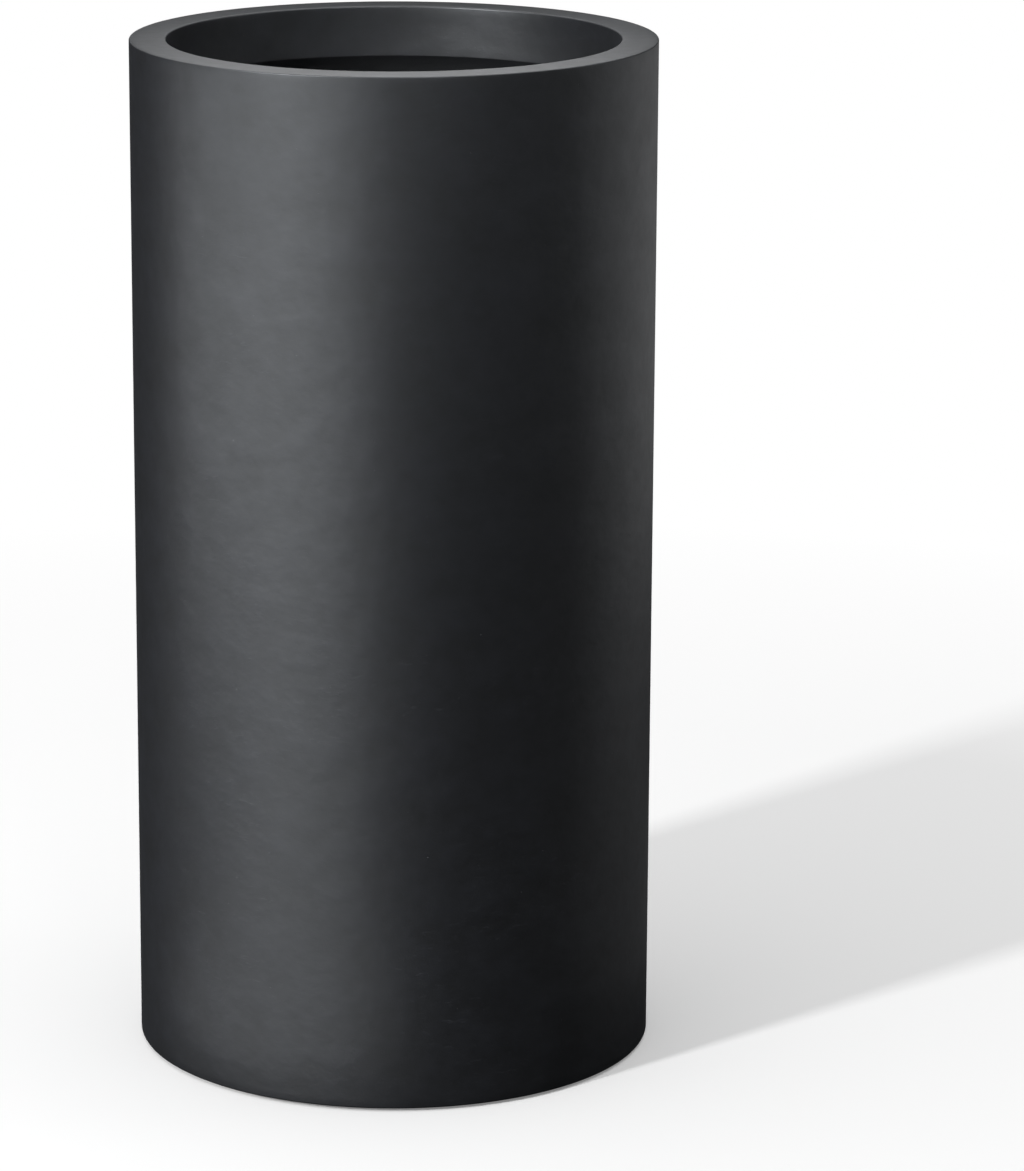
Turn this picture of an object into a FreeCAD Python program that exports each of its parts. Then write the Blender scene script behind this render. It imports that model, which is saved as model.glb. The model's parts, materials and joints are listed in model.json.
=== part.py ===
# A tall cylindrical planter of fibre-reinforced concrete, in millimetres, +Z up.
# The origin is on the floor, on the planter's axis. The planter stands on rubber pads.
import FreeCAD, Part
import math
import os
import Sketcher

# Driving sizes: alias, value, what it measures.
SIZES = (
    ("outer_diameter", 355, "outside of the barrel"),
    ("body_height", 696, "barrel, from its lower edge to the top of the rim"),
    ("wall_thickness", 12, "barrel wall below the rim"),
    ("lip_width", 25, "flat top of the rim, from the outside to the mouth"),
    ("collar_depth", 35, "height of the collar inside the mouth"),
    ("haunch_height", 15, "slope from the collar out to the thinner wall"),
    ("lip_outer_radius", 0.8, "rounding of the rim's outer edge"),
    ("lip_inner_radius", 1.2, "rounding of the rim's inner edge"),
    ("collar_edge_radius", 1.5, "rounding of the collar's lower edge"),
    ("base_edge_radius", 1.2, "rounding of the barrel's lower outer edge"),
    ("slab_thickness", 20, "base slab"),
    ("slab_edge_chamfer", 2, "chamfer round the underside of the base slab"),
    ("bond_gap", 0.3, "bond line between the slab or cove and the barrel"),
    ("cove_radius", 16, "hollow of the mortar cove in the corner of slab and wall"),
    ("cove_toe", 2, "blunt edge of the mortar cove"),
    ("drain_bore", 25, "bore of the drain sleeve"),
    ("sleeve_wall", 3, "wall of the drain sleeve"),
    ("sleeve_flange_width", 7, "flange of the sleeve, outside its wall"),
    ("sleeve_flange_thickness", 3, "flange of the sleeve"),
    ("fit_clearance", 0.3, "radial clearance of the sleeve in the slab and the plug in the sleeve"),
    ("plug_head_overlap", 6, "head of the plug, outside the bore"),
    ("plug_head_thickness", 5, "head of the plug"),
    ("plug_head_radius", 2, "rounding of the plug's head"),
    ("plug_stem_length", 16, "stem of the plug, below its head"),
    ("plug_tip_chamfer", 1.5, "lead-in at the tip of the stem"),
    ("rib_height", 1, "sealing ribs of the stem"),
    ("rib_width", 2.2, "slope of one sealing rib, along the stem"),
    ("rib_pitch", 4.4, "from one sealing rib to the next"),
    ("rib_count", 3, "sealing ribs"),
    ("lug_width", 16, "pull lug of the plug"),
    ("lug_height", 18, "pull lug, from the head to its top"),
    ("lug_thickness", 6, "pull lug"),
    ("lug_hole", 8, "finger or hook hole of the lug"),
    ("lug_edge_radius", 1.2, "rounding of the lug's outline"),
    ("pad_diameter", 36, "rubber foot pad"),
    ("pad_height", 2, "foot pad, which is the gap under the barrel"),
    ("pad_edge_radius", 0.6, "rounding of the pad's lower edge"),
    ("pad_circle_diameter", 250, "circle of the pad centres"),
    ("pad_count", 4, "foot pads, evenly spaced"),
    ("pad_first_angle", 45, "direction of the first pad from +X, in degrees"),
)

# Sizes that follow from the driving ones, as expressions.
OUTER_RADIUS = "Sizes.outer_diameter / 2"
MOUTH_RADIUS = "(Sizes.outer_diameter / 2 - Sizes.lip_width)"
CAVITY_RADIUS = "(Sizes.outer_diameter / 2 - Sizes.wall_thickness)"
COLLAR_FOOT = "(Sizes.body_height - Sizes.collar_depth)"
HAUNCH_FOOT = "(Sizes.body_height - Sizes.collar_depth - Sizes.haunch_height)"
BONDED_RADIUS = "(Sizes.outer_diameter / 2 - Sizes.wall_thickness - Sizes.bond_gap)"
BORE_RADIUS = "(Sizes.drain_bore / 2)"
SLEEVE_RADIUS = "(Sizes.drain_bore / 2 + Sizes.sleeve_wall)"
FLANGE_RADIUS = "(Sizes.drain_bore / 2 + Sizes.sleeve_wall + Sizes.sleeve_flange_width)"
FLANGE_SEAT = "(Sizes.slab_thickness - Sizes.sleeve_flange_thickness)"
RIB_RADIUS = "(Sizes.drain_bore / 2 - Sizes.fit_clearance)"
STEM_RADIUS = "(Sizes.drain_bore / 2 - Sizes.fit_clearance - Sizes.rib_height)"
RIB_ROOT_RADIUS = "(Sizes.drain_bore / 2 - Sizes.fit_clearance - 2 * Sizes.rib_height)"
HEAD_RADIUS = "(Sizes.drain_bore / 2 + Sizes.plug_head_overlap)"
HEAD_TOP = "(Sizes.plug_stem_length + Sizes.plug_head_thickness)"
LUG_EYE = "(Sizes.plug_stem_length + Sizes.plug_head_thickness + Sizes.lug_height - Sizes.lug_width / 2)"
SLAB_TOP = "(Sizes.pad_height + Sizes.slab_thickness)"

HORIZONTAL_AXIS, VERTICAL_AXIS, ORIGIN_POINT = -1, -2, 1
START, END, CENTRE = 1, 2, 3
EDGE_TOLERANCE = 1e-4
FULL_TURN = 360
NORMAL = FreeCAD.Vector(0, 0, 1)

doc = FreeCAD.newDocument("planter")
sheet = doc.addObject("Spreadsheet::Sheet", "Sizes")
for row, (alias, number, meaning) in enumerate(SIZES, start=1):
    sheet.set(f"A{row}", meaning)
    sheet.set(f"B{row}", str(number))
    sheet.setAlias(f"B{row}", alias)
doc.recompute()


def measure(expression):
    """The number that an expression over the sheet has now."""
    return float(sheet.evalExpression(expression))


def new_body(label, height="0"):
    """An empty body, lifted to a height above the floor."""
    body = doc.addObject("PartDesign::Body", label)
    body.Label = label
    body.setExpression("Placement.Base.z", height)
    return body


def new_sketch(body, name, plane):
    """A sketch on one of the body's own origin planes."""
    sketch = body.newObject("Sketcher::SketchObject", name)
    support = next(feature for feature in body.Origin.OriginFeatures if feature.Role == plane)
    sketch.AttachmentSupport = (support, [""])
    sketch.MapMode = "FlatFace"
    return sketch


def dimension(sketch, constraint, name, expression):
    """Adds a named dimension and binds it to the sheet."""
    index = sketch.addConstraint(constraint)
    sketch.renameConstraint(index, name)
    sketch.setExpression("Constraints." + name, expression)


def fix_point(sketch, geometry, place, name, radius, height):
    """Holds a point of a sketch at a radius and a height, given as expressions."""
    across = ("DistanceX", "_radius", radius, VERTICAL_AXIS)
    upward = ("DistanceY", "_height", height, HORIZONTAL_AXIS)
    for kind, suffix, size, axis in (across, upward):
        if size == "0":
            sketch.addConstraint(Sketcher.Constraint("PointOnObject", geometry, place, axis))
        else:
            offset = Sketcher.Constraint(kind, HORIZONTAL_AXIS, ORIGIN_POINT, geometry, place, measure(size))
            dimension(sketch, offset, name + suffix, size)


def half_section(body, name, corners):
    """A closed half section of straight lines beside the axis, from corners (name, radius, height)."""
    sketch = new_sketch(body, name, "XZ_Plane")
    points = [FreeCAD.Vector(measure(radius), measure(height), 0) for _, radius, height in corners]
    for here, there in zip(points, points[1:] + points[:1]):
        sketch.addGeometry(Part.LineSegment(here, there), False)
    for line in range(len(corners)):
        following = (line + 1) % len(corners)
        sketch.addConstraint(Sketcher.Constraint("Coincident", line, END, following, START))
    for line, (corner, radius, height) in enumerate(corners):
        fix_point(sketch, line, START, corner, radius, height)
    return sketch


def round_section(body, name, radius, height, hollow):
    """A circle beside the axis, with its centre at a radius and a height."""
    sketch = new_sketch(body, name, "XZ_Plane")
    centre = FreeCAD.Vector(measure(radius), measure(height), 0)
    sketch.addGeometry(Part.Circle(centre, NORMAL, measure(hollow)), False)
    fix_point(sketch, 0, CENTRE, "centre", radius, height)
    dimension(sketch, Sketcher.Constraint("Radius", 0, measure(hollow)), "hollow", hollow)
    return sketch


def turn(body, name, sketch, kind="Revolution"):
    """Turns a section about the body's axis, to add it or, as a Groove, to cut it away."""
    turned = body.newObject("PartDesign::" + kind, name)
    turned.Profile = (sketch, [""])
    turned.ReferenceAxis = (sketch, ["V_Axis"])
    turned.Angle = FULL_TURN
    doc.recompute()
    return turned


def ring_edges(feature, radius, height):
    """Names of the feature's round edges about the axis, at a radius and a height."""
    found = []
    for number, edge in enumerate(feature.Shape.Edges, start=1):
        curve = edge.Curve
        if not isinstance(curve, Part.Circle):
            continue
        off_axis = math.hypot(curve.Center.x, curve.Center.y)
        off_size = abs(curve.Radius - measure(radius)) + abs(curve.Center.z - measure(height))
        if off_axis + off_size < EDGE_TOLERANCE:
            found.append(f"Edge{number}")
    return found


def round_ring(body, name, radius, height, rounding, kind="Fillet"):
    """Rounds or chamfers the edge that runs round the axis at a radius and a height."""
    base = body.Tip
    dressed = body.newObject("PartDesign::" + kind, name)
    dressed.Base = (base, ring_edges(base, radius, height))
    dressed.setExpression("Radius" if kind == "Fillet" else "Size", rounding)
    doc.recompute()
    return dressed


def disc_sketch(body, name, radius):
    """A circle about the axis, on the body's floor plane."""
    sketch = new_sketch(body, name, "XY_Plane")
    sketch.addGeometry(Part.Circle(FreeCAD.Vector(0, 0, 0), NORMAL, measure(radius)), False)
    sketch.addConstraint(Sketcher.Constraint("Coincident", 0, CENTRE, HORIZONTAL_AXIS, ORIGIN_POINT))
    dimension(sketch, Sketcher.Constraint("Radius", 0, measure(radius)), name + "_radius", radius)
    return sketch


def make_shell():
    """The barrel in one casting: straight wall, flat rim and the collar turned down inside the mouth."""
    body = new_body("planter_shell", "Sizes.pad_height")
    section = half_section(body, "shell_section", (
        ("base_outside", OUTER_RADIUS, "0"),
        ("rim_outside", OUTER_RADIUS, "Sizes.body_height"),
        ("rim_inside", MOUTH_RADIUS, "Sizes.body_height"),
        ("collar_foot", MOUTH_RADIUS, COLLAR_FOOT),
        ("haunch_foot", CAVITY_RADIUS, HAUNCH_FOOT),
        ("base_inside", CAVITY_RADIUS, "0"),
    ))
    turn(body, "shell_casting", section)
    round_ring(body, "rim_outer_edge", OUTER_RADIUS, "Sizes.body_height", "Sizes.lip_outer_radius")
    round_ring(body, "rim_inner_edge", MOUTH_RADIUS, "Sizes.body_height", "Sizes.lip_inner_radius")
    round_ring(body, "collar_lower_edge", MOUTH_RADIUS, COLLAR_FOOT, "Sizes.collar_edge_radius")
    round_ring(body, "base_outer_edge", OUTER_RADIUS, "0", "Sizes.base_edge_radius")
    return body


def make_slab():
    """The base, cast on its own and bonded into the barrel, with a stepped hole for the drain sleeve."""
    body = new_body("base_slab", "Sizes.pad_height")
    section = half_section(body, "slab_section", (
        ("hole_below", SLEEVE_RADIUS + " + Sizes.fit_clearance", "0"),
        ("rim_below", BONDED_RADIUS, "0"),
        ("rim_above", BONDED_RADIUS, "Sizes.slab_thickness"),
        ("step_above", FLANGE_RADIUS + " + Sizes.fit_clearance", "Sizes.slab_thickness"),
        ("step_below", FLANGE_RADIUS + " + Sizes.fit_clearance", FLANGE_SEAT),
        ("hole_above", SLEEVE_RADIUS + " + Sizes.fit_clearance", FLANGE_SEAT),
    ))
    turn(body, "slab_casting", section)
    round_ring(body, "slab_edge", BONDED_RADIUS, "0", "Sizes.slab_edge_chamfer", "Chamfer")
    return body


def make_cove():
    """The mortar cove that bonds the slab to the wall, troweled hollow."""
    body = new_body("base_cove", SLAB_TOP)
    inner_edge = BONDED_RADIUS + " - Sizes.cove_toe - Sizes.cove_radius"
    crest = "Sizes.cove_toe + Sizes.cove_radius"
    bed = half_section(body, "cove_bed", (
        ("slab_edge", inner_edge, "0"),
        ("corner", BONDED_RADIUS, "0"),
        ("wall_edge", BONDED_RADIUS, crest),
        ("inner_crest", inner_edge, crest),
    ))
    turn(body, "cove_mortar", bed)
    hollow = round_section(body, "cove_hollow", inner_edge, crest, "Sizes.cove_radius")
    turn(body, "cove_face", hollow, "Groove")
    return body


def make_sleeve():
    """The plastic tube that lines the drain hole, flush with the slab, its flange in the slab's step."""
    body = new_body("drain_sleeve", "Sizes.pad_height")
    section = half_section(body, "sleeve_section", (
        ("bore_below", BORE_RADIUS, "0"),
        ("tube_below", SLEEVE_RADIUS, "0"),
        ("tube_above", SLEEVE_RADIUS, FLANGE_SEAT),
        ("flange_below", FLANGE_RADIUS, FLANGE_SEAT),
        ("flange_above", FLANGE_RADIUS, "Sizes.slab_thickness"),
        ("bore_above", BORE_RADIUS, "Sizes.slab_thickness"),
    ))
    turn(body, "sleeve_tube", section)
    return body


def make_plug():
    """The rubber plug: a round head on the sleeve's flange, a ribbed stem in the bore and a pull lug."""
    body = new_body("drain_plug", SLAB_TOP + " - Sizes.plug_stem_length")
    section = half_section(body, "plug_section", (
        ("tip_middle", "0", "0"),
        ("tip_edge", STEM_RADIUS, "0"),
        ("stem_top", STEM_RADIUS, "Sizes.plug_stem_length"),
        ("head_below", HEAD_RADIUS, "Sizes.plug_stem_length"),
        ("head_above", HEAD_RADIUS, HEAD_TOP),
        ("head_middle", "0", HEAD_TOP),
    ))
    turn(body, "plug_body", section)
    round_ring(body, "stem_lead_in", STEM_RADIUS, "0", "Sizes.plug_tip_chamfer", "Chamfer")
    round_ring(body, "head_edge", HEAD_RADIUS, HEAD_TOP, "Sizes.plug_head_radius")
    add_ribs(body)
    add_lug(body)
    return body


def add_ribs(body):
    """Barbed sealing ribs round the stem, the first one a pitch below the head."""
    crest = "Sizes.plug_stem_length - Sizes.rib_pitch"
    section = half_section(body, "rib_section", (
        ("rib_foot", RIB_ROOT_RADIUS, crest + " - Sizes.rib_width"),
        ("rib_crest", RIB_RADIUS, crest),
        ("rib_shoulder", RIB_ROOT_RADIUS, crest),
    ))
    rib = turn(body, "sealing_rib", section)
    ribs = body.newObject("PartDesign::LinearPattern", "sealing_ribs")
    ribs.Originals = [rib]
    ribs.Direction = (section, ["V_Axis"])
    ribs.Reversed = True
    ribs.setExpression("Length", "Sizes.rib_pitch * (Sizes.rib_count - 1)")
    ribs.setExpression("Occurrences", "Sizes.rib_count")
    body.Tip = ribs
    doc.recompute()


def lug_outline(body):
    """The outline of the pull lug, a flat tongue with a round crown, and its eye."""
    sketch = new_sketch(body, "lug_outline", "XZ_Plane")
    half = measure("Sizes.lug_width / 2")
    foot = measure("Sizes.plug_stem_length")
    eye = measure(LUG_EYE)
    left_foot = FreeCAD.Vector(-half, foot, 0)
    right_foot = FreeCAD.Vector(half, foot, 0)
    eye_centre = FreeCAD.Vector(0, eye, 0)
    base, right, crown, left, opening = range(5)
    sketch.addGeometry(Part.LineSegment(left_foot, right_foot), False)
    sketch.addGeometry(Part.LineSegment(right_foot, FreeCAD.Vector(half, eye, 0)), False)
    sketch.addGeometry(Part.ArcOfCircle(Part.Circle(eye_centre, NORMAL, half), 0, math.pi), False)
    sketch.addGeometry(Part.LineSegment(FreeCAD.Vector(-half, eye, 0), left_foot), False)
    sketch.addGeometry(Part.Circle(eye_centre, NORMAL, measure("Sizes.lug_hole / 2")), False)
    for first, second in ((base, right), (left, base)):
        sketch.addConstraint(Sketcher.Constraint("Coincident", first, END, second, START))
    for first, second in ((right, crown), (crown, left)):
        sketch.addConstraint(Sketcher.Constraint("Tangent", first, END, second, START))
    sketch.addConstraint(Sketcher.Constraint("Horizontal", base))
    sketch.addConstraint(Sketcher.Constraint("Vertical", right))
    sketch.addConstraint(Sketcher.Constraint("Coincident", opening, CENTRE, crown, CENTRE))
    fix_point(sketch, crown, CENTRE, "eye", "0", LUG_EYE)
    width = Sketcher.Constraint("DistanceX", base, START, base, END, 2 * half)
    dimension(sketch, width, "width", "Sizes.lug_width")
    foot_height = Sketcher.Constraint("DistanceY", HORIZONTAL_AXIS, ORIGIN_POINT, base, START, foot)
    dimension(sketch, foot_height, "foot_height", "Sizes.plug_stem_length")
    eye_size = Sketcher.Constraint("Diameter", opening, measure("Sizes.lug_hole"))
    dimension(sketch, eye_size, "eye_size", "Sizes.lug_hole")
    return sketch


def add_lug(body):
    """The pull lug on the plug's head, with its crown rounded."""
    lug = body.newObject("PartDesign::Pad", "pull_lug")
    lug.Profile = (lug_outline(body), [""])
    lug.Midplane = True
    lug.setExpression("Length", "Sizes.lug_thickness")
    doc.recompute()
    crown_top = measure(HEAD_TOP + " + Sizes.lug_height")
    crown_edges = []
    for number, edge in enumerate(lug.Shape.Edges, start=1):
        middle = edge.valueAt((edge.FirstParameter + edge.LastParameter) / 2)
        if abs(middle.z - crown_top) < EDGE_TOLERANCE:
            crown_edges.append(f"Edge{number}")
    rounded = body.newObject("PartDesign::Fillet", "lug_edge")
    rounded.Base = (lug, crown_edges)
    rounded.setExpression("Radius", "Sizes.lug_edge_radius")
    doc.recompute()


def make_pad(number):
    """One rubber foot pad, bonded under the slab."""
    body = new_body(f"foot_pad_{number}")
    angle = f"(Sizes.pad_first_angle + {number - 1} * {FULL_TURN} / Sizes.pad_count) * 1 deg"
    body.setExpression("Placement.Base.x", f"Sizes.pad_circle_diameter / 2 * cos({angle})")
    body.setExpression("Placement.Base.y", f"Sizes.pad_circle_diameter / 2 * sin({angle})")
    pad = body.newObject("PartDesign::Pad", f"pad_disc_{number}")
    pad.Profile = (disc_sketch(body, f"pad_outline_{number}", "Sizes.pad_diameter / 2"), [""])
    pad.setExpression("Length", "Sizes.pad_height")
    doc.recompute()
    round_ring(body, f"pad_edge_{number}", "Sizes.pad_diameter / 2", "0", "Sizes.pad_edge_radius")
    return body


def check(parts):
    """Stops the build if any object failed or any part isn't one valid solid."""
    doc.recompute()
    for item in doc.Objects:
        if "Invalid" in item.State or "Error" in item.State:
            raise RuntimeError(f"{item.Name} failed: {item.State}")
    for part in parts:
        if part.Shape.isNull() or not part.Shape.isValid() or len(part.Shape.Solids) != 1:
            raise RuntimeError(f"{part.Label} is not one valid solid")


pads = [make_pad(number) for number in range(1, int(measure("Sizes.pad_count")) + 1)]
sub_parts = [make_shell(), make_slab(), make_cove(), make_sleeve(), make_plug(), *pads]
check(sub_parts)
os.makedirs("parts", exist_ok=True)
for part in sub_parts:
    part.Shape.exportStep(os.path.join("parts", part.Label + ".step"))
    print(part.Label, "volume", round(part.Shape.Volume / 1000, 2), "cm3")
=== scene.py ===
"""Looks of a cylindrical concrete floor planter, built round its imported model.

Everything is in metres, in the model's own frame: the origin lies on the floor on the planter's axis,
+Z points up and -Y points to the viewer.
"""

import json
import math
from collections import namedtuple

import bpy
from bpy.props import FloatProperty, FloatVectorProperty, IntProperty, PointerProperty
from bpy.types import NodeSocket, Operator, Panel, PropertyGroup
from mathutils import Matrix, Vector


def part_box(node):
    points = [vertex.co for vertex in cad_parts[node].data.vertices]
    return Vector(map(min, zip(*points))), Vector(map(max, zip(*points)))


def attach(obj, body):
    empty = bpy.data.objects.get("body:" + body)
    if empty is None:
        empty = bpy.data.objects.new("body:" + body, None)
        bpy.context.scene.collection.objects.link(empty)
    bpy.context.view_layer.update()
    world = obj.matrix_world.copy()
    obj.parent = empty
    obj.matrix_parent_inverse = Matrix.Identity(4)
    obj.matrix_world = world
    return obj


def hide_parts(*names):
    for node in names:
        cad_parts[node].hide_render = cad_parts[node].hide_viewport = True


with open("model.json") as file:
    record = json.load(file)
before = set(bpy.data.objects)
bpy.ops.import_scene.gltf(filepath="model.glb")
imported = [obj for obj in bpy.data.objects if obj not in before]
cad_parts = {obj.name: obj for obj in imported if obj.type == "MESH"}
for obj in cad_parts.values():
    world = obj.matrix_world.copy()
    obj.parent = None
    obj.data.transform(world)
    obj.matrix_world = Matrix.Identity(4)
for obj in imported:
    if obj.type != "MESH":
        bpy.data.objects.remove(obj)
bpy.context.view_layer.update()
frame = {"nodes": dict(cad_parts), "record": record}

bl_info = {
    "name": "Concrete Floor Planter",
    "version": (1, 0, 0),
    "blender": (4, 5, 0),
    "location": "3D View > Sidebar > Planter",
    "description": "Builds the looks of a cylindrical concrete planter round its packed model",
    "category": "Add Mesh",
}

MM = 0.001
WHITE = (1.0, 1.0, 1.0, 1.0)

# Radius of the ring that a section is swept round. A section's X is measured from it.
RING_RADIUS = 1.0

# A corner of a turned section. Raw is 0 where the concrete is sealed and 1 where it is left as it was cast.
Corner = namedtuple("Corner", "name radius height rounding raw", defaults=(0.4 * MM, 0.0))


def reach(node):
    """Outer radius, lowest and highest point of a round node, from its box in the frame."""
    low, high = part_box(node)
    return (high.x - low.x) / 2, low.z, high.z


def mount(name):
    """One of the record's mounts."""
    return next(entry for entry in frame["record"]["mounts"] if entry["name"] == name)


SHELL_RADIUS, SHELL_FOOT, SHELL_TOP = reach("planter_shell")
SLAB_RADIUS, SLAB_FOOT, SLAB_TOP = reach("base_slab")
COVE_RADIUS, COVE_FOOT, COVE_TOP = reach("base_cove")
FLANGE_RADIUS, SLEEVE_FOOT, SLEEVE_TOP = reach("drain_sleeve")
HEAD_RADIUS, PLUG_TIP, LUG_TOP = reach("drain_plug")
PAD_RADIUS, PAD_FOOT, PAD_TOP = reach("foot_pad_1")
PAD_CENTRE = sum(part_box("foot_pad_1"), Vector()) / 2
PAD_NODES = sorted(node for node in frame["nodes"] if node.startswith("foot_pad"))
MOUTH_RADIUS = mount("mouth")["dims"]["r_mm"] * MM


def length(label, description, default):
    """A size in metres that a user can change."""
    return FloatProperty(
        name=label,
        description=description,
        default=default,
        min=0.0,
        precision=5,
        subtype="DISTANCE",
        unit="LENGTH",
    )


def colour(label, description, default):
    """A linear colour that a user can change."""
    return FloatVectorProperty(
        name=label, description=description, default=default, size=3, min=0.0, max=1.0, subtype="COLOR"
    )


class PlanterSizes(PropertyGroup):
    """Sizes that the frame's boxes don't give."""

    mouth_radius: length("Mouth radius", "Radius of the opening inside the collar", MOUTH_RADIUS)
    bond_gap: length("Bond gap", "Gap between the base and the wall", 0.3 * MM)
    collar_depth: length("Collar depth", "Height of the collar turned down inside the mouth", 35 * MM)
    haunch_depth: length("Haunch depth", "Height of the slope from the collar to the wall", 15 * MM)
    lip_outer_rounding: length("Lip outer rounding", "Radius of the rim's outer edge", 0.8 * MM)
    lip_inner_rounding: length("Lip inner rounding", "Radius of the rim's inner edge", 1.2 * MM)
    collar_rounding: length("Collar rounding", "Radius of the collar's lower edge", 1.5 * MM)
    foot_rounding: length("Foot rounding", "Radius of the wall's lower outer edge", 1.2 * MM)
    slab_chamfer: length("Base chamfer", "Width of the chamfer under the base's rim", 2 * MM)
    cove_toe: length("Cove toe", "Thickness of the mortar where it runs out", 2 * MM)
    sleeve_wall: length("Sleeve wall", "Wall of the drain's tube", 3 * MM)
    bore_radius: length("Drain bore", "Radius of the drain's bore", 12.5 * MM)
    flange_depth: length("Flange depth", "Thickness of the drain's flange", 3 * MM)
    drain_gap: length("Drain gap", "Gap between the drain's tube and the base", 0.3 * MM)
    stem_radius: length("Stem radius", "Radius of the plug's stem between its ribs", 11.2 * MM)
    rib_radius: length("Rib radius", "Radius at the crest of the plug's ribs", 12.2 * MM)
    rib_pitch: length("Rib pitch", "Distance from one rib to the next", 4.4 * MM)
    rib_slope: length("Rib slope", "Height of a rib's slope", 2.2 * MM)
    rib_count: IntProperty(name="Ribs", description="Number of ribs on the plug's stem", default=3, min=1)
    head_depth: length("Head depth", "Thickness of the plug's head", 5 * MM)
    lug_width: length("Lug width", "Width of the plug's pull lug", 16 * MM)
    lug_thickness: length("Lug thickness", "Thickness of the plug's pull lug", 6 * MM)
    eye_radius: length("Eye radius", "Radius of the hole in the pull lug", 4 * MM)
    row_spacing: length("Row spacing", "Distance between the rows of a turned mesh", 5 * MM)
    smooth_relief: length("Sealed relief", "Depth of the unevenness of the sealed surface", 0.06 * MM)
    raw_relief: length("Raw relief", "Depth of the unevenness of the raw concrete", 0.8 * MM)
    segments: IntProperty(
        name="Segments", description="Number of segments round a turned mesh", default=256, min=32
    )


class PlanterColours(PropertyGroup):
    """Linear colours of the finishes."""

    sealed: colour("Sealed concrete", "Charcoal concrete under its sealer", (0.0106, 0.0114, 0.0138))
    raw: colour("Raw concrete", "Charcoal concrete as it was cast, under the base", (0.045, 0.0455, 0.047))
    # Inside is near-black as painted shade in the hollow under the collar, not a damp look of the concrete
    inside: colour("Inside", "Dark, damp-looking concrete inside the barrel", (0.0075, 0.0077, 0.0083))
    sand: colour("Sand", "Sand grains that show in the mortar", (0.16, 0.16, 0.16))
    mortar: colour("Mortar", "Mortar between base and wall", (0.135, 0.132, 0.126))
    plastic: colour("Plastic", "Grey plastic of the drain's tube", (0.19, 0.195, 0.205))
    rubber: colour("Rubber", "Black rubber of the plug and the foot pads", (0.018, 0.018, 0.019))
    floor: colour("Floor", "Studio floor", (0.95, 0.95, 0.95))


class PlanterStage(PropertyGroup):
    """The viewpoint and the plain light."""

    viewpoint: FloatVectorProperty(
        name="Viewpoint",
        description="Place of the camera",
        default=(0.0, -3.3191, 1.1748),
        subtype="TRANSLATION",
    )
    pitch: FloatProperty(
        name="Pitch",
        description="Angle of the view below level",
        default=math.radians(14.464),
        subtype="ANGLE",
    )
    lens: FloatProperty(
        name="Lens", description="Focal length in mm on a 36 mm film", default=152.96, unit="CAMERA"
    )
    shift: FloatProperty(name="Shift", description="Sideways shift of the film", default=0.1009)
    floor_size: length("Floor size", "Side of the floor", 60.0)
    sky: FloatProperty(
        name="Sky", description="Strength of the even light from all round", default=0.003, min=0.0
    )
    ceiling: FloatProperty(
        name="Ceiling", description="Light from above that a white floor returns", default=0.716, min=0.0
    )
    ceiling_angle: FloatProperty(
        name="Ceiling angle",
        description="Width of the light from above",
        default=math.radians(106),
        subtype="ANGLE",
    )


# Building of node trees


def add(tree, kind, inputs=None, **settings):
    """Adds a node. Each input, by name or number, is a socket to link from or a plain value."""
    node = tree.nodes.new(kind)
    for name, value in settings.items():
        setattr(node, name, value)
    for key, value in (inputs or {}).items():
        if isinstance(value, NodeSocket):
            tree.links.new(value, node.inputs[key])
        else:
            node.inputs[key].default_value = value
    return node


def switch(tree, index, kind, values):
    """Picks one of the values, sockets or plain ones, by the index of the point."""
    node = tree.nodes.new("GeometryNodeIndexSwitch")
    node.data_type = kind
    for _ in values[2:]:
        node.index_switch_items.new()
    tree.links.new(index, node.inputs["Index"])
    for number, value in enumerate(values, start=1):
        if isinstance(value, NodeSocket):
            tree.links.new(value, node.inputs[number])
        else:
            node.inputs[number].default_value = value
    return node.outputs[0]


def ranged(tree, value, start, end, low=0.0, high=1.0):
    """A value from start to end brought to the range from low to high, and held there."""
    inputs = {0: value, 1: start, 2: end, 3: low, 4: high}
    return add(tree, "ShaderNodeMapRange", inputs).outputs[0]


def times(tree, first, second):
    """The product of two values."""
    return add(tree, "ShaderNodeMath", {0: first, 1: second}, operation="MULTIPLY").outputs[0]


def plus(tree, first, second):
    """The sum of two values."""
    return add(tree, "ShaderNodeMath", {0: first, 1: second}, operation="ADD").outputs[0]


# Geometry of the turned pieces


def new_tree(name):
    """An empty Geometry Nodes tree and its group input."""
    tree = bpy.data.node_groups.new(name, "GeometryNodeTree")
    tree.is_modifier = True
    tree.interface.new_socket("Geometry", in_out="OUTPUT", socket_type="NodeSocketGeometry")
    return tree, tree.nodes.new("NodeGroupInput")


def named_input(tree, inlet, name, kind="NodeSocketFloat"):
    """A named input of the tree, as a socket to link from."""
    tree.interface.new_socket(name, in_out="INPUT", socket_type=kind)
    return inlet.outputs[name]


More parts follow.
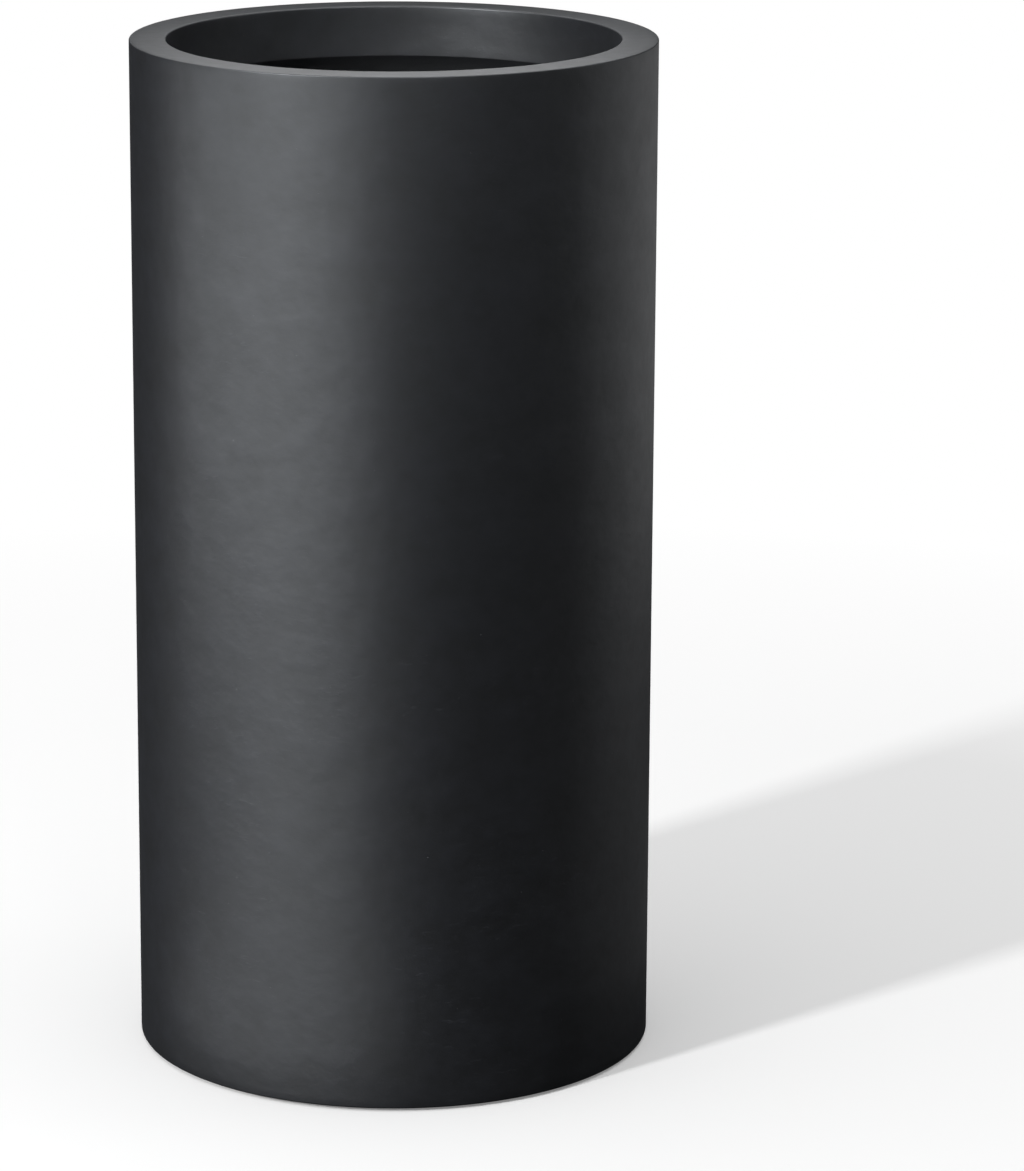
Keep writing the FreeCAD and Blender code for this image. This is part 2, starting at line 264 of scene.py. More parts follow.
def section(tree, inlet, corners):
    """A section with a rounded corner at each given place, closed unless it ends on the axis.

    X is the radius less that of the ring, and Y is the depth below 0.
    """
    index = add(tree, "GeometryNodeInputIndex").outputs[0]
    places, roundings = [], []
    for corner in corners:
        radius = named_input(tree, inlet, f"{corner.name} radius")
        height = named_input(tree, inlet, f"{corner.name} height")
        outward, below = plus(tree, radius, -RING_RADIUS), times(tree, height, -1.0)
        places.append(add(tree, "ShaderNodeCombineXYZ", {"X": outward, "Y": below}).outputs[0])
        roundings.append(named_input(tree, inlet, f"{corner.name} rounding"))
    line = add(tree, "GeometryNodeMeshLine", {"Count": len(corners)}).outputs[0]
    place = switch(tree, index, "VECTOR", places)
    line = add(tree, "GeometryNodeSetPosition", {"Geometry": line, "Position": place}).outputs[0]
    raw = switch(tree, index, "FLOAT", [corner.raw for corner in corners])
    stored = {"Geometry": line, "Name": "raw", "Value": raw}
    line = add(tree, "GeometryNodeStoreNamedAttribute", stored).outputs[0]
    curve = add(tree, "GeometryNodeMeshToCurve", {"Mesh": line}).outputs[0]
    closed = all(corner.radius > 0 for corner in corners)
    curve = add(tree, "GeometryNodeSetSplineCyclic", {"Geometry": curve, "Cyclic": closed}).outputs[0]
    rounding = switch(tree, index, "FLOAT", roundings)
    steps = named_input(tree, inlet, "Arc steps", "NodeSocketInt")
    fillet = {"Curve": curve, "Count": steps, "Radius": rounding, "Limit Radius": True}
    return add(tree, "GeometryNodeFilletCurve", fillet, mode="POLY").outputs[0]


def in_rows(tree, inlet, curve):
    """Cuts the straight stretches of a closed section into rows of about the given spacing."""
    index = add(tree, "GeometryNodeInputIndex").outputs[0]
    place = add(tree, "GeometryNodeInputPosition").outputs[0]
    extent = add(tree, "GeometryNodeAttributeDomainSize", {0: curve}, component="CURVE")
    after = add(tree, "FunctionNodeIntegerMath", {0: index, 1: 1}, operation="ADD").outputs[0]
    wrapped = {0: after, 1: extent.outputs["Point Count"]}
    after = add(tree, "FunctionNodeIntegerMath", wrapped, operation="MODULO").outputs[0]
    following = add(
        tree,
        "GeometryNodeFieldAtIndex",
        {"Value": place, "Index": after},
        data_type="FLOAT_VECTOR",
        domain="POINT",
    )
    ends = {0: place, 1: following.outputs[0]}
    stretch = add(tree, "ShaderNodeVectorMath", ends, operation="DISTANCE").outputs["Value"]
    spacing = named_input(tree, inlet, "Row spacing")
    rows = add(tree, "ShaderNodeMath", {0: stretch, 1: spacing}, operation="DIVIDE").outputs[0]
    cuts = add(tree, "FunctionNodeFloatToInt", {0: rows}, rounding_mode="FLOOR").outputs[0]
    return add(tree, "GeometryNodeSubdivideCurve", {"Curve": curve, "Cuts": cuts}).outputs[0]


def swept(tree, inlet, curve):
    """Turns a section round the Z axis and closes the poles."""
    segments = named_input(tree, inlet, "Segments", "NodeSocketInt")
    circle = {"Resolution": segments, "Radius": RING_RADIUS}
    ring = add(tree, "GeometryNodeCurvePrimitiveCircle", circle, mode="RADIUS").outputs[0]
    ring = add(tree, "GeometryNodeSetCurveNormal", {"Curve": ring}, mode="Z_UP").outputs[0]
    mesh = add(tree, "GeometryNodeCurveToMesh", {"Curve": ring, "Profile Curve": curve}).outputs[0]
    mesh = add(tree, "GeometryNodeFlipFaces", {"Mesh": mesh}).outputs[0]
    merged = {"Geometry": mesh, "Distance": 0.002 * MM}
    return add(tree, "GeometryNodeMergeByDistance", merged).outputs[0]


def uneven(tree, inlet, mesh):
    """Pushes the surface in by a fixed noise, deeper where the concrete is raw."""
    raw = add(tree, "GeometryNodeInputNamedAttribute", {"Name": "raw"}, data_type="FLOAT").outputs[0]
    shallow = named_input(tree, inlet, "Sealed relief")
    deep = named_input(tree, inlet, "Raw relief")
    depth = add(tree, "ShaderNodeMix", {0: raw, 2: shallow, 3: deep}, data_type="FLOAT").outputs[0]
    scale = named_input(tree, inlet, "Relief scale")
    dips = add(tree, "ShaderNodeTexNoise", {"Scale": scale, "Detail": 2.0}).outputs["Fac"]
    dips = ranged(tree, dips, 0.42, 0.80, 0.0, -1.0)
    inward = times(tree, dips, depth)
    normal = add(tree, "GeometryNodeInputNormal").outputs[0]
    push = add(tree, "ShaderNodeVectorMath", {0: normal, "Scale": inward}, operation="SCALE").outputs[0]
    return add(tree, "GeometryNodeSetPosition", {"Geometry": mesh, "Offset": push}).outputs[0]


def on_circle(tree, inlet, mesh):
    """Copies of a mesh at even steps round a circle."""
    copies = named_input(tree, inlet, "Copies", "NodeSocketInt")
    radius = named_input(tree, inlet, "Circle radius")
    turn = named_input(tree, inlet, "First angle")
    points = add(tree, "GeometryNodeMeshCircle", {"Vertices": copies, "Radius": radius}).outputs[0]
    angles = add(tree, "ShaderNodeCombineXYZ", {"Z": turn}).outputs[0]
    points = add(tree, "GeometryNodeTransform", {"Geometry": points, "Rotation": angles}).outputs[0]
    return add(tree, "GeometryNodeInstanceOnPoints", {"Points": points, "Instance": mesh}).outputs[0]


def turned_tree(name, corners, copied=False):
    """The tree of a piece with a closed section turned round the Z axis, copied round a circle if asked."""
    tree, inlet = new_tree(name)
    curve = in_rows(tree, inlet, section(tree, inlet, corners))
    mesh = uneven(tree, inlet, swept(tree, inlet, curve))
    mesh = add(tree, "GeometryNodeSetShadeSmooth", {"Geometry": mesh, "Shade Smooth": True}).outputs[0]
    if copied:
        mesh = on_circle(tree, inlet, mesh)
    mesh = add(tree, "GeometryNodeRealizeInstances", {"Geometry": mesh}).outputs[0]
    finish = named_input(tree, inlet, "Finish", "NodeSocketMaterial")
    mesh = add(tree, "GeometryNodeSetMaterial", {"Geometry": mesh, "Material": finish}).outputs[0]
    add(tree, "NodeGroupOutput", {0: mesh})
    return tree


def evaluated(piece):
    """A plain mesh of a piece with its modifiers applied."""
    bpy.context.view_layer.update()
    return bpy.data.meshes.new_from_object(piece.evaluated_get(bpy.context.evaluated_depsgraph_get()))


def new_piece(name, data):
    """A new object at the origin, in the scene."""
    piece = bpy.data.objects.new(name, data)
    bpy.context.scene.collection.objects.link(piece)
    return piece


def baked(piece, finish):
    """Makes what the modifiers give a piece its plain mesh, all in one finish."""
    mesh = evaluated(piece)
    mesh.materials.clear()
    mesh.materials.append(finish)
    mesh.polygons.foreach_set("material_index", [0] * len(mesh.polygons))
    piece.modifiers.clear()
    piece.data = mesh
    return piece


def turned_piece(name, corners, finish, relief_scale=90.0, arc_steps=6, **circle):
    """A piece turned from the section with these corners.

    Circle gives the number of its copies, the radius that they stand on and the angle of the first.
    """
    sizes = bpy.context.scene.planter_sizes
    values = {
        "Segments": sizes.segments,
        "Row spacing": sizes.row_spacing,
        "Arc steps": arc_steps,
        "Sealed relief": sizes.smooth_relief,
        "Raw relief": sizes.raw_relief,
        "Relief scale": relief_scale,
        "Finish": finish,
    }
    for corner in corners:
        values[f"{corner.name} radius"] = corner.radius
        values[f"{corner.name} height"] = corner.height
        values[f"{corner.name} rounding"] = corner.rounding
    values.update({key.replace("_", " ").capitalize(): value for key, value in circle.items()})
    tree = turned_tree(name, corners, copied=bool(circle))
    piece = new_piece(name, bpy.data.meshes.new(name))
    modifier = piece.modifiers.new(name, "NODES")
    modifier.node_group = tree
    for item in tree.interface.items_tree:
        if item.in_out == "INPUT":
            modifier[item.identifier] = values[item.name]
    return baked(piece, finish)


# Finishes


def new_finish(name):
    """A material with its tree, its shader and the object's coordinates."""
    material = bpy.data.materials.new(name)
    material.use_nodes = True
    tree = material.node_tree
    place = add(tree, "ShaderNodeTexCoord").outputs["Object"]
    return material, tree, tree.nodes["Principled BSDF"], place


def noise(tree, place, size, detail=3.0, roughness=0.5, distortion=0.0):
    """A noise from 0 to 1 whose patches are about that size."""
    inputs = {
        "Vector": place,
        "Scale": 1 / size,
        "Detail": detail,
        "Roughness": roughness,
        "Distortion": distortion,
    }
    return add(tree, "ShaderNodeTexNoise", inputs).outputs["Fac"]


def stretched(tree, place, scale):
    """The place with each axis stretched by its own factor."""
    return add(tree, "ShaderNodeMapping", {"Vector": place, "Scale": scale}).outputs[0]


def mixed(tree, factor, first, second):
    """One value for a factor of 0 and another for 1."""
    return add(tree, "ShaderNodeMix", {0: factor, 2: first, 3: second}, data_type="FLOAT").outputs[0]


def blended(tree, factor, first, second):
    """One colour for a factor of 0 and another for 1."""
    return add(tree, "ShaderNodeMix", {0: factor, 6: first, 7: second}, data_type="RGBA").outputs[2]


def dots(tree, place, spacing, share, radius):
    """Dots of uneven strength in that share of the cells. Their radius is a part of the cells' spacing."""
    weakest = 0.2
    cells = add(tree, "ShaderNodeTexVoronoi", {"Vector": place, "Scale": 1 / spacing})
    chances = add(tree, "ShaderNodeSeparateColor", {0: cells.outputs["Color"]}).outputs
    chosen = add(tree, "ShaderNodeMath", {0: chances[0], 1: share}, operation="LESS_THAN").outputs[0]
    strength = times(tree, chosen, ranged(tree, chances[1], 0.0, 1.0, weakest, 1.0))
    return times(tree, strength, ranged(tree, cells.outputs["Distance"], radius, radius / 3))


def bumped(tree, height, depth):
    """A normal for a surface on which a height of 1 stands for that depth."""
    return add(tree, "ShaderNodeBump", {"Height": height, "Distance": depth, "Strength": 1.0}).outputs[0]


def shade(base, factor):
    """A colour with all its parts times a factor, as a socket takes it."""
    return (*(part * factor for part in base), 1.0)


def concrete(name, raw_and_painted_shade_colour="inside"):
    """Charcoal concrete, sealed to a satin outside, and in another of the colours where it is raw. For the
    shell that colour is the near-black inside one, which is painted shade in the hollow under the collar.
    """
    colours = bpy.context.scene.planter_colours
    raw_tone_and_painted_shade = getattr(colours, raw_and_painted_shade_colour)
    material, tree, shader, place = new_finish(name)
    raw = add(tree, "ShaderNodeAttribute", attribute_name="raw").outputs["Fac"]

    # Soft clouds and smaller patches, a little wider than high
    lying = stretched(tree, place, (1.0, 1.0, 1.25))
    clouds = noise(tree, lying, size=34 * MM, detail=5.0)
    patches = noise(tree, lying, size=10 * MM, detail=4.0)
    tone = ranged(tree, plus(tree, times(tree, clouds, 0.6), times(tree, patches, 0.4)), 0.34, 0.66)
    sealed = blended(tree, tone, shade(colours.sealed, 0.50), shade(colours.sealed, 1.50))

    # Thin pale wisps of lime that lie level and come in crowds
    level = stretched(tree, place, (1.0, 1.0, 3.2))
    drawn = noise(tree, level, size=9 * MM, detail=6.0, roughness=0.62, distortion=1.2)
    crowded = ranged(tree, noise(tree, place, size=70 * MM, detail=2.0), 0.48, 0.62)
    wisps = times(tree, ranged(tree, drawn, 0.58, 0.74), crowded)
    sealed = blended(tree, times(tree, wisps, 0.7), sealed, shade(colours.sealed, 2.6))

    # Sand grains where the concrete is raw, and small holes that air left everywhere. Where the shell is
    # raw, its colour is the near-black inside colour, which is painted shade in the barrel.
    cast = blended(tree, tone, shade(raw_tone_and_painted_shade, 0.72), shade(raw_tone_and_painted_shade, 1.28))
    grains = dots(tree, place, spacing=1.7 * MM, share=0.30, radius=0.4)
    cast = blended(tree, times(tree, grains, 0.5), cast, shade(raw_tone_and_painted_shade, 2.5))
    pinholes = dots(tree, place, spacing=7 * MM, share=0.22, radius=0.06)
    body = blended(tree, raw, sealed, cast)
    # The holes are drawn at a quarter of the sealed colour. This is painted shade in them, over their
    # bumped dips.
    body = blended(tree, times(tree, pinholes, 0.8), body, shade(colours.sealed, 0.25))
    tree.links.new(body, shader.inputs["Base Color"])

    raw_roughness = 0.85
    satin = plus(tree, ranged(tree, tone, 0.0, 1.0, 0.48, 0.43), times(tree, wisps, 0.06))
    tree.links.new(mixed(tree, raw, satin, raw_roughness), shader.inputs["Roughness"])

    # Heights in units of the bump's depth
    bump_depth = 0.08 * MM
    fine = noise(tree, place, size=1.1 * MM, roughness=0.6)
    coarse = noise(tree, place, size=4.5 * MM, detail=5.0, roughness=0.7)
    waves = plus(tree, times(tree, clouds, 7.0), times(tree, patches, 1.6))
    sealed_height = plus(tree, plus(tree, times(tree, fine, 0.08), waves), times(tree, wisps, 0.5))
    raw_height = plus(tree, times(tree, fine, 2.0), times(tree, coarse, 6.0))
    height = plus(tree, mixed(tree, raw, sealed_height, raw_height), times(tree, pinholes, -4.0))
    tree.links.new(bumped(tree, height, bump_depth), shader.inputs["Normal"])

    # The sealer's film
    shader.inputs["IOR"].default_value = 1.92
    shader.inputs["Specular Tint"].default_value = (0.925, 0.96, 1.0, 1.0)
    return material


def mortar(name):
    """Sandy bonding mortar, left as the trowel drew it."""
    colours = bpy.context.scene.planter_colours
    material, tree, shader, place = new_finish(name)
    tone = ranged(tree, noise(tree, place, size=16 * MM, detail=5.0, roughness=0.6), 0.3, 0.7)
    body = blended(tree, tone, shade(colours.mortar, 0.75), shade(colours.mortar, 1.2))
    grains = dots(tree, place, spacing=1.3 * MM, share=0.45, radius=0.45)
    body = blended(tree, times(tree, grains, 0.6), body, shade(colours.sand, 1.5))
    tree.links.new(body, shader.inputs["Base Color"])
    level = stretched(tree, place, (1.0, 1.0, 3.0))
    strokes = noise(tree, level, size=7 * MM, detail=5.0, roughness=0.65)
    height = plus(tree, times(tree, strokes, 2.0), grains)
    tree.links.new(bumped(tree, height, depth=0.25 * MM), shader.inputs["Normal"])
    shader.inputs["Roughness"].default_value = 0.92
    return material


def plastic(name):
    """Satin grey plastic with faint turning marks and rub marks."""
    colours = bpy.context.scene.planter_colours
    material, tree, shader, place = new_finish(name)
    rubs = noise(tree, place, size=5 * MM, detail=6.0, roughness=0.7)
    worn = ranged(tree, rubs, 0.35, 0.7)
    body = blended(tree, worn, shade(colours.plastic, 0.92), shade(colours.plastic, 1.12))
    tree.links.new(body, shader.inputs["Base Color"])
    tree.links.new(ranged(tree, rubs, 0.3, 0.7, 0.34, 0.5), shader.inputs["Roughness"])
    rings = {"Vector": place, "Scale": 180.0, "Distortion": 0.6, "Detail": 2.0}
    marks = add(tree, "ShaderNodeTexWave", rings, wave_type="RINGS", rings_direction="Z").outputs["Fac"]
    tree.links.new(bumped(tree, marks, depth=0.03 * MM), shader.inputs["Normal"])
    return material


def rubber(name):
    """Moulded black rubber with a little grey bloom."""
    colours = bpy.context.scene.planter_colours
    material, tree, shader, place = new_finish(name)
    bloom = ranged(tree, noise(tree, place, size=6 * MM, detail=5.0, roughness=0.65), 0.42, 0.75)
    body = blended(tree, bloom, shade(colours.rubber, 0.9), shade(colours.rubber, 2.2))
    tree.links.new(body, shader.inputs["Base Color"])
    tree.links.new(ranged(tree, bloom, 0.0, 1.0, 0.55, 0.78), shader.inputs["Roughness"])
    grain = noise(tree, place, size=0.6 * MM, detail=2.0)
    tree.links.new(bumped(tree, grain, depth=0.04 * MM), shader.inputs["Normal"])
    return material


def pale_floor(name):
    """Matte, nearly white studio floor that fades to plain white away from the planter."""
    colours = bpy.context.scene.planter_colours
    material, tree, shader, place = new_finish(name)
    tone = noise(tree, place, size=0.35, detail=2.0)
    body = blended(tree, tone, shade(colours.floor, 0.995), shade(colours.floor, 1.005))
    tree.links.new(body, shader.inputs["Base Color"])
    shader.inputs["Roughness"].default_value = 1.0
    shader.inputs["Specular IOR Level"].default_value = 0.0
    rays = add(tree, "ShaderNodeLightPath").outputs
    seen = plus(tree, plus(tree, rays["Is Camera Ray"], rays["Is Glossy Ray"]), rays["Is Transmission Ray"])
    distance = add(tree, "ShaderNodeVectorMath", {0: place}, operation="LENGTH").outputs["Value"]
    white = add(tree, "ShaderNodeEmission", {"Color": WHITE, "Strength": 1.0}).outputs[0]
    near, far, near_share = 0.8, 1.5, 0.2
    fade = times(tree, seen, ranged(tree, distance, near, far, near_share, 1.0))
    surface = add(tree, "ShaderNodeMixShader", {0: fade, 1: shader.outputs[0], 2: white}).outputs[0]
    tree.links.new(surface, tree.nodes["Material Output"].inputs["Surface"])
    return material


def shared(make, name):
    """The finish of that name, made at its first use."""
    return bpy.data.materials.get(name) or make(name)


def hand_over(piece, body, slot, *nodes):
    """Lets a finished piece ride on its body and stand for its nodes."""
    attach(piece, body)
    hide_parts(*nodes)


# Sections of the pieces


def shell_corners(sizes):
    """The wall, the rim and the collar that is turned down inside it."""
    cavity = SLAB_RADIUS + sizes.bond_gap
    collar_foot = SHELL_TOP - sizes.collar_depth
    return [
        Corner("Wall foot", SHELL_RADIUS, SHELL_FOOT, sizes.foot_rounding),
        Corner("Lip outer", SHELL_RADIUS, SHELL_TOP, sizes.lip_outer_rounding),
        Corner("Lip inner", sizes.mouth_radius, SHELL_TOP, sizes.lip_inner_rounding),
        # Raw runs from none at the rim to a fifth at the collar's lower edge and is full under the haunch.
        # There the shell takes the near-black inside colour, which is painted shade in the hollow.
        Corner("Collar foot", sizes.mouth_radius, collar_foot, sizes.collar_rounding, 0.2),
        Corner("Haunch foot", cavity, collar_foot - sizes.haunch_depth, sizes.collar_rounding, 1.0),
        Corner("Cavity foot", cavity, SHELL_FOOT, raw=1.0),
    ]


def slab_corners(sizes):
    """The base with its chamfered rim and its stepped drain hole."""
    step_radius = FLANGE_RADIUS + sizes.drain_gap
    hole_radius = sizes.bore_radius + sizes.sleeve_wall + sizes.drain_gap
    step_height = SLAB_TOP - sizes.flange_depth
    return [
        Corner("Rim underside", SLAB_RADIUS - sizes.slab_chamfer, SLAB_FOOT, raw=1.0),
        Corner("Rim side", SLAB_RADIUS, SLAB_FOOT + sizes.slab_chamfer, raw=1.0),
        Corner("Rim top", SLAB_RADIUS, SLAB_TOP, raw=1.0),
        Corner("Step edge", step_radius, SLAB_TOP, raw=1.0),
        Corner("Step corner", step_radius, step_height, raw=1.0),
        Corner("Hole edge", hole_radius, step_height, raw=1.0),
        Corner("Hole foot", hole_radius, SLAB_FOOT, raw=1.0),
    ]


def cove_corners(sizes):
    """The mortar in the corner of base and wall, hollow as a fingertip draws it."""
    hollow = COVE_TOP - COVE_FOOT - sizes.cove_toe
    hollow_rounding = 0.96 * hollow
    outer, inner = COVE_RADIUS - sizes.cove_toe, COVE_RADIUS - sizes.cove_toe - hollow
    toe_top = COVE_FOOT + sizes.cove_toe
    trowelled = 0.3
    return [
        Corner("Corner", COVE_RADIUS, COVE_FOOT, raw=trowelled),
        Corner("Wall toe", COVE_RADIUS, COVE_TOP, raw=trowelled),
        Corner("Wall edge", outer, COVE_TOP, raw=trowelled),
        Corner("Hollow", outer, toe_top, hollow_rounding, trowelled),
        Corner("Base edge", inner, toe_top, raw=trowelled),
        Corner("Base toe", inner, COVE_FOOT, raw=trowelled),
    ]


def sleeve_corners(sizes):
    """The drain's tube and its flange."""
    tube_radius = sizes.bore_radius + sizes.sleeve_wall
    flange_foot = SLEEVE_TOP - sizes.flange_depth
    edge = 0.8 * MM
    return [
        Corner("Tube foot", tube_radius, SLEEVE_FOOT),
        Corner("Tube top", tube_radius, flange_foot),
        Corner("Flange underside", FLANGE_RADIUS, flange_foot),
        Corner("Flange edge", FLANGE_RADIUS, SLEEVE_TOP, edge),
        Corner("Bore top", sizes.bore_radius, SLEEVE_TOP, edge),
        Corner("Bore foot", sizes.bore_radius, SLEEVE_FOOT),
    ]


def plug_corners(sizes):
    """The plug's tapered tip, barbed stem and round head."""
    tip_chamfer = 1.5 * MM
    rib_edge, rib_back, head_edge = 0.2 * MM, 0.3 * MM, 2 * MM
    head_foot = SLAB_TOP
    corners = [
        Corner("Tip middle", 0.0, PLUG_TIP, 0.0),
        Corner("Tip", sizes.stem_radius - tip_chamfer, PLUG_TIP),
        Corner("Tip chamfer", sizes.stem_radius, PLUG_TIP + tip_chamfer),
    ]
    lowest_crest = head_foot - sizes.rib_pitch * sizes.rib_count
    for rib in range(sizes.rib_count):
        crest = lowest_crest + sizes.rib_pitch * rib
        corners += [
            Corner(f"Rib {rib} foot", sizes.stem_radius, crest - sizes.rib_slope, rib_edge),
            Corner(f"Rib {rib} crest", sizes.rib_radius, crest, rib_edge),
            Corner(f"Rib {rib} back", sizes.stem_radius, crest + rib_back, rib_edge),
        ]
    return corners + [
        Corner("Head root", sizes.stem_radius, head_foot),
        Corner("Head underside", HEAD_RADIUS, head_foot),
        Corner("Head edge", HEAD_RADIUS, head_foot + sizes.head_depth, head_edge),
        Corner("Head middle", 0.0, head_foot + sizes.head_depth, 0.0),
    ]


def pad_corners():
    """A round foot pad about the axis."""
    sole_edge, top_edge = 0.6 * MM, 0.3 * MM
    return [
        Corner("Sole middle", 0.0, PAD_FOOT, 0.0),
        Corner("Sole edge", PAD_RADIUS, PAD_FOOT, sole_edge),
        Corner("Top edge", PAD_RADIUS, PAD_TOP, top_edge),
        Corner("Top middle", 0.0, PAD_TOP, 0.0),
    ]


def lug_mesh(sizes):
    """The plug's pull lug: a flat tongue with a round crown, an eye and rounded edges, in the XZ plane."""
    edge = 1.2 * MM
    half_width = sizes.lug_width / 2 - edge
    crown = LUG_TOP - sizes.lug_width / 2
    root = SLAB_TOP + sizes.head_depth / 2
    flat = bpy.data.curves.new("lug", "CURVE")
    flat.dimensions = "2D"
    flat.fill_mode = "BOTH"
    flat.extrude = sizes.lug_thickness / 2 - edge
    flat.bevel_depth = edge
    flat.bevel_resolution = 3
    steps = 24
    arch = [math.pi * step / steps for step in range(steps + 1)]
    tongue = [(half_width, root)]
    tongue += [(half_width * math.cos(angle), crown + half_width * math.sin(angle)) for angle in arch]
    tongue += [(-half_width, root)]
    eye_radius = sizes.eye_radius + edge
    whole = [2 * math.pi * step / (2 * steps) for step in range(2 * steps)]
    eye = [(eye_radius * math.cos(angle), crown + eye_radius * math.sin(angle)) for angle in whole]
    for outline in (tongue, eye):
        spline = flat.splines.new("POLY")
        spline.points.add(len(outline) - 1)
        spline.use_cyclic_u = True
        for point, (across, up) in zip(spline.points, outline):
            point.co = (across, up, 0.0, 1.0)
    pattern = new_piece("lug", flat)
    mesh = evaluated(pattern)
    bpy.data.objects.remove(pattern)
    mesh.transform(Matrix.Rotation(math.pi / 2, 4, "X"))
    return mesh


def joined(piece, mesh):
    """Adds a mesh to a piece's own mesh."""
    other = new_piece("addition", mesh)
    with bpy.context.temp_override(active_object=piece, selected_editable_objects=[piece, other]):
        bpy.ops.object.join()
    return piece


# Operators


class PLANTER_OT_shell(Operator):
    """Turns the planter's wall, rim and collar"""

    bl_idname = "planter.shell"
    bl_label = "Shell"

    def execute(self, context):
        sizes = context.scene.planter_sizes
        finish = shared(concrete, "sealed_charcoal")
        shell = turned_piece("shell_casting", shell_corners(sizes), finish)
        hand_over(shell, "planter", "charcoal_concrete", "planter_shell")
        return {"FINISHED"}


class PLANTER_OT_base(Operator):
    """Turns the base and the mortar that bonds it to the wall"""

    bl_idname = "planter.base"
    bl_label = "Base"

    def execute(self, context):
        sizes = context.scene.planter_sizes
        finish = concrete("raw_charcoal", "raw")
        slab = turned_piece("base_casting", slab_corners(sizes), finish, relief_scale=60.0)
        hand_over(slab, "planter", "charcoal_concrete", "base_slab")
        finish = shared(mortar, "sandy_mortar")
        cove = turned_piece("mortar_cove", cove_corners(sizes), finish, relief_scale=140.0, arc_steps=10)
        hand_over(cove, "planter", "bond_mortar", "base_cove")
        return {"FINISHED"}


class PLANTER_OT_drain(Operator):
    """Makes the drain's tube and its rubber plug"""

    bl_idname = "planter.drain"
    bl_label = "Drain"

    def execute(self, context):
        sizes = context.scene.planter_sizes
        sleeve = turned_piece("drain_tube", sleeve_corners(sizes), shared(plastic, "satin_plastic"))
        hand_over(sleeve, "planter", "grey_plastic", "drain_sleeve")
        finish = shared(rubber, "moulded_rubber")
        plug = turned_piece("rubber_plug", plug_corners(sizes), finish)
        joined(plug, lug_mesh(sizes))
        skin = plug.modifiers.new("skin", "REMESH")
        skin.mode = "VOXEL"
        skin.voxel_size = 0.35 * MM
        skin.use_smooth_shade = True
        soften = plug.modifiers.new("soften", "SMOOTH")
        soften.factor = 0.5
        soften.iterations = 3
        baked(plug, finish)
        hand_over(plug, "plug", "black_rubber", "drain_plug")
        return {"FINISHED"}


class PLANTER_OT_feet(Operator):
    """Sets the rubber pads under the base"""

    bl_idname = "planter.feet"
    bl_label = "Feet"

    def execute(self, context):
        pads = turned_piece(
            "foot_pads",
            pad_corners(),
            shared(rubber, "moulded_rubber"),
            copies=len(PAD_NODES),
            circle_radius=math.hypot(PAD_CENTRE.x, PAD_CENTRE.y),
            first_angle=math.atan2(PAD_CENTRE.y, PAD_CENTRE.x),
        )
        hand_over(pads, "planter", "black_rubber", *PAD_NODES)
        return {"FINISHED"}


# The stage

# A flat lamp. Azimuth 0 is towards the viewer and + is to the right. Level is the height of its middle, and
# aim is what it faces. Angles are in degrees, and a narrow spread works like a grid in front of a softbox.
# The planter neither mirrors the floor nor gets light from it: the two bounces stand for what it returns.
Lamp = namedtuple("Lamp", "name azimuth distance level width height power aim spread")
LAMPS = (
    Lamp("key", -47, 4.4, 2.45, 0.33, 0.33, 170.0, (0.0, 0.0, 0.35), 180),
    Lamp("left_panel", -57, 1.9, 0.2, 3.75, 0.38, 12.8, (0.0, 0.0, 0.2), 180),
    Lamp("floor_bounce", -41, 0.67, 0.012, 0.46, 0.9, 0.56, (0.0, 0.0, 30.0), 180),
    Lamp("right_panel", 128, 1.8, 0.34, 3.2, 0.8, 1.42, (0.0, 0.0, 0.34), 110),
    Lamp("right_fill", 62, 1.8, 0.3, 1.2, 1.0, 0.13, (0.0, 0.0, 0.3), 180),
    Lamp("right_bounce", 105, 0.72, 0.012, 0.7, 0.9, 0.125, (0.0, 0.0, 30.0), 180),
    Lamp("rim_lamp", 180, 0.35, 0.95, 0.38, 0.15, 0.050, (0.0, -0.165, 0.7), 52),
    Lamp("front_fill", 12, 2.0, 1.7, 0.4, 0.4, 0.17, (0.0, 0.0, 0.72), 25),
    Lamp("high_fill", 92, 1.7, 1.25, 0.5, 0.5, 0.20, (-0.05, 0.03, 0.69), 60),
)


def set_lamp(lamp):
    """Makes one flat lamp that the camera doesn't see."""
    data = bpy.data.lights.new(lamp.name, "AREA")
    data.shape = "RECTANGLE"
    data.size = lamp.width
    data.size_y = lamp.height
    data.energy = lamp.power
    data.spread = math.radians(lamp.spread)
    light = new_piece(lamp.name, data)
    angle = math.radians(lamp.azimuth)
    place = Vector((lamp.distance * math.sin(angle), -lamp.distance * math.cos(angle), lamp.level))
    turn = (Vector(lamp.aim) - place).to_track_quat("-Z", "Y").to_matrix().to_4x4()
    light.matrix_world = Matrix.Translation(place) @ turn
    light.visible_camera = False


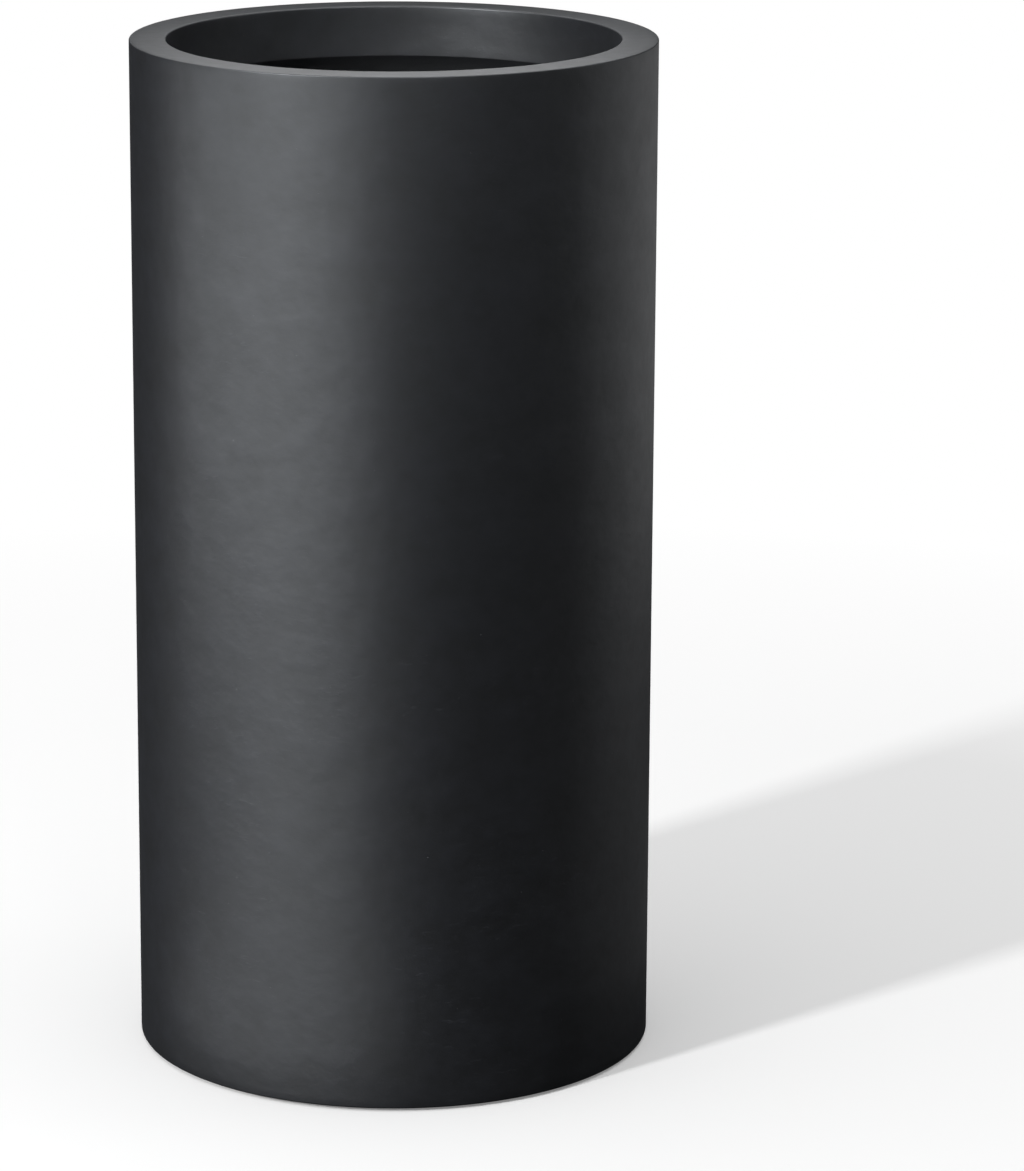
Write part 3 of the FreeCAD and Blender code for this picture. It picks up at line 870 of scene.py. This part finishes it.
class PLANTER_OT_stage(Operator):
    """Lays the floor and sets the light and the camera"""

    bl_idname = "planter.stage"
    bl_label = "Stage"

    def execute(self, context):
        stage = context.scene.planter_stage
        half = stage.floor_size / 2
        mesh = bpy.data.meshes.new("floor")
        corners = [(-half, -half, 0), (half, -half, 0), (half, half, 0), (-half, half, 0)]
        mesh.from_pydata(corners, [], [(0, 1, 2, 3)])
        mesh.materials.append(shared(pale_floor, "pale_floor"))
        floor = new_piece("floor", mesh)
        floor.visible_diffuse = False
        floor.visible_glossy = False
        world = bpy.data.worlds.new("studio")
        world.use_nodes = True
        background = world.node_tree.nodes["Background"]
        background.inputs["Color"].default_value = WHITE
        background.inputs["Strength"].default_value = stage.sky
        context.scene.world = world
        above = bpy.data.lights.new("ceiling", "SUN")
        above.energy = stage.ceiling * math.pi
        above.angle = stage.ceiling_angle
        new_piece("ceiling", above)
        for lamp in LAMPS:
            set_lamp(lamp)
        data = bpy.data.cameras.new("viewer")
        data.lens = stage.lens
        data.shift_x = stage.shift
        camera = new_piece("viewer", data)
        camera.location = stage.viewpoint
        camera.rotation_euler = (math.pi / 2 - stage.pitch, 0.0, 0.0)
        context.scene.camera = camera
        context.scene.view_settings.view_transform = "Standard"
        return {"FINISHED"}


class PLANTER_PT_build(Panel):
    """The steps that build the planter"""

    bl_label = "Planter"
    bl_idname = "PLANTER_PT_build"
    bl_space_type = "VIEW_3D"
    bl_region_type = "UI"
    bl_category = "Planter"

    def draw(self, context):
        for operator in OPERATORS:
            self.layout.operator(operator.bl_idname)
        for group in GROUPS:
            for name in group.__annotations__:
                self.layout.prop(getattr(context.scene, GROUPS[group]), name)


OPERATORS = (PLANTER_OT_shell, PLANTER_OT_base, PLANTER_OT_drain, PLANTER_OT_feet, PLANTER_OT_stage)
GROUPS = {PlanterSizes: "planter_sizes", PlanterColours: "planter_colours", PlanterStage: "planter_stage"}


def register():
    """Registers the classes and gives the scene its settings."""
    for entry in (*GROUPS, *OPERATORS, PLANTER_PT_build):
        bpy.utils.register_class(entry)
    for group, name in GROUPS.items():
        setattr(bpy.types.Scene, name, PointerProperty(type=group))


def unregister():
    """Takes back what register did."""
    for name in GROUPS.values():
        delattr(bpy.types.Scene, name)
    for entry in reversed((*GROUPS, *OPERATORS, PLANTER_PT_build)):
        bpy.utils.unregister_class(entry)


def main():
    """Builds the planter and its stage."""
    register()
    bpy.ops.planter.shell()
    bpy.ops.planter.base()
    bpy.ops.planter.drain()
    bpy.ops.planter.feet()
    bpy.ops.planter.stage()


if __name__ == "__main__":
    main()
